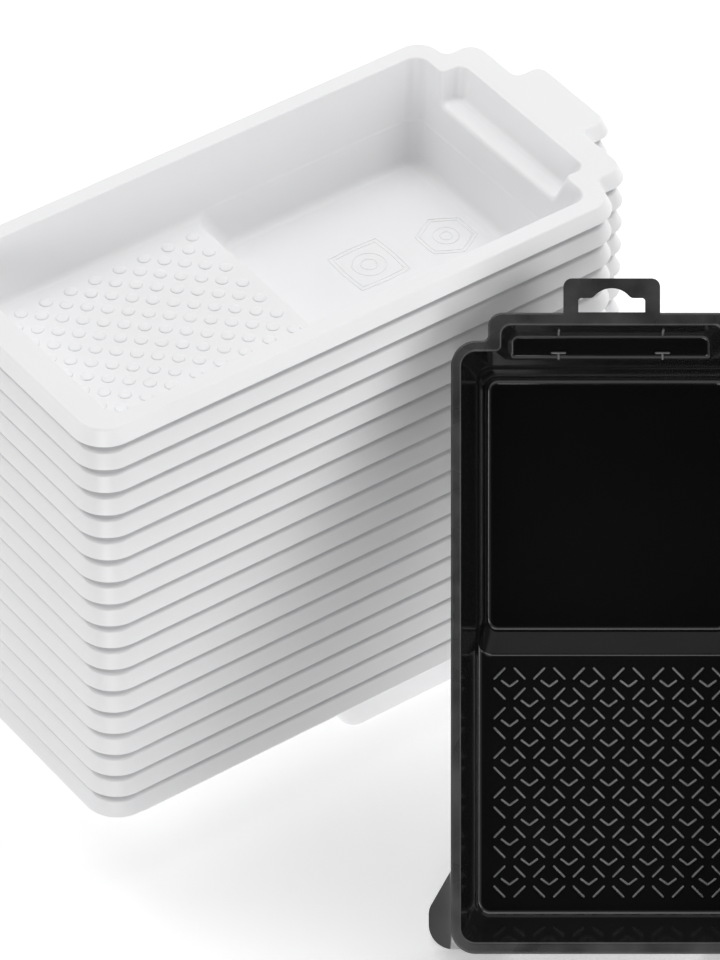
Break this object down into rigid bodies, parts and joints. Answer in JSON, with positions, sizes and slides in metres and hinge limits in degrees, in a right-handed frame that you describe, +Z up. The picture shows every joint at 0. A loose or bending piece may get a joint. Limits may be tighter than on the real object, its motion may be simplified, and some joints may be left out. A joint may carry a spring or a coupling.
{
  "type": "paint roller tray",
  "caption": "Rigid mini roller tray with a deep well, ribbed roll-off floor and hanging slot, leaning on a nested stack of drop-in liners.",
  "frame": {"origin": "on the floor, under the centre of the box around the tray and its stack of liners", "axes": "+Z up; +X to the right and -Y towards the viewer who faces the tray's opening; the liners' long axis is turned 35.7 degrees from +X"},
  "size_m": [0.4096, 0.385, 0.2876],
  "materials": {
    "black_plastic": "gloss, satin rim",
    "white_plastic": "satin"
  },
  "bodies": {
    "stack_base": {"liner_01": "white_plastic"},
    "liner_02_body": {"liner_02": "white_plastic"},
    "liner_03_body": {"liner_03": "white_plastic"},
    "liner_04_body": {"liner_04": "white_plastic"},
    "liner_05_body": {"liner_05": "white_plastic"},
    "liner_06_body": {"liner_06": "white_plastic"},
    "liner_07_body": {"liner_07": "white_plastic"},
    "liner_08_body": {"liner_08": "white_plastic"},
    "liner_09_body": {"liner_09": "white_plastic"},
    "liner_10_body": {"liner_10": "white_plastic"},
    "liner_11_body": {"liner_11": "white_plastic"},
    "liner_12_body": {"liner_12": "white_plastic"},
    "liner_13_body": {"liner_13": "white_plastic"},
    "liner_14_body": {"liner_14": "white_plastic"},
    "liner_15_body": {"liner_15": "white_plastic"},
    "liner_16_body": {"liner_16": "white_plastic"},
    "liner_17_body": {"liner_17": "white_plastic"},
    "liner_18_body": {"liner_18": "white_plastic"},
    "tray_body": {"tray": "black_plastic"}
  },
  "joints": [
    {"name": "liner_02_lift", "type": "slide", "parent": "stack_base", "child": "liner_02_body", "axis": [0, 0, 1], "range_m": [0, 0.08]},
    {"name": "liner_03_lift", "type": "slide", "parent": "liner_02_body", "child": "liner_03_body", "axis": [0, 0, 1], "range_m": [0, 0.08]},
    {"name": "liner_04_lift", "type": "slide", "parent": "liner_03_body", "child": "liner_04_body", "axis": [0, 0, 1], "range_m": [0, 0.08]},
    {"name": "liner_05_lift", "type": "slide", "parent": "liner_04_body", "child": "liner_05_body", "axis": [0, 0, 1], "range_m": [0, 0.08]},
    {"name": "liner_06_lift", "type": "slide", "parent": "liner_05_body", "child": "liner_06_body", "axis": [0, 0, 1], "range_m": [0, 0.08]},
    {"name": "liner_07_lift", "type": "slide", "parent": "liner_06_body", "child": "liner_07_body", "axis": [0, 0, 1], "range_m": [0, 0.08]},
    {"name": "liner_08_lift", "type": "slide", "parent": "liner_07_body", "child": "liner_08_body", "axis": [0, 0, 1], "range_m": [0, 0.08]},
    {"name": "liner_09_lift", "type": "slide", "parent": "liner_08_body", "child": "liner_09_body", "axis": [0, 0, 1], "range_m": [0, 0.08]},
    {"name": "liner_10_lift", "type": "slide", "parent": "liner_09_body", "child": "liner_10_body", "axis": [0, 0, 1], "range_m": [0, 0.08]},
    {"name": "liner_11_lift", "type": "slide", "parent": "liner_10_body", "child": "liner_11_body", "axis": [0, 0, 1], "range_m": [0, 0.08]},
    {"name": "liner_12_lift", "type": "slide", "parent": "liner_11_body", "child": "liner_12_body", "axis": [0, 0, 1], "range_m": [0, 0.08]},
    {"name": "liner_13_lift", "type": "slide", "parent": "liner_12_body", "child": "liner_13_body", "axis": [0, 0, 1], "range_m": [0, 0.08]},
    {"name": "liner_14_lift", "type": "slide", "parent": "liner_13_body", "child": "liner_14_body", "axis": [0, 0, 1], "range_m": [0, 0.08]},
    {"name": "liner_15_lift", "type": "slide", "parent": "liner_14_body", "child": "liner_15_body", "axis": [0, 0, 1], "range_m": [0, 0.08]},
    {"name": "liner_16_lift", "type": "slide", "parent": "liner_15_body", "child": "liner_16_body", "axis": [0, 0, 1], "range_m": [0, 0.08]},
    {"name": "liner_17_lift", "type": "slide", "parent": "liner_16_body", "child": "liner_17_body", "axis": [0, 0, 1], "range_m": [0, 0.08]},
    {"name": "liner_18_lift", "type": "slide", "parent": "liner_17_body", "child": "liner_18_body", "axis": [0, 0, 1], "range_m": [0, 0.08]},
    {"name": "tray_lift", "type": "slide", "parent": "stack_base", "child": "tray_body", "axis": [0, 0, 1], "range_m": [0, 0.3]}
  ]
}
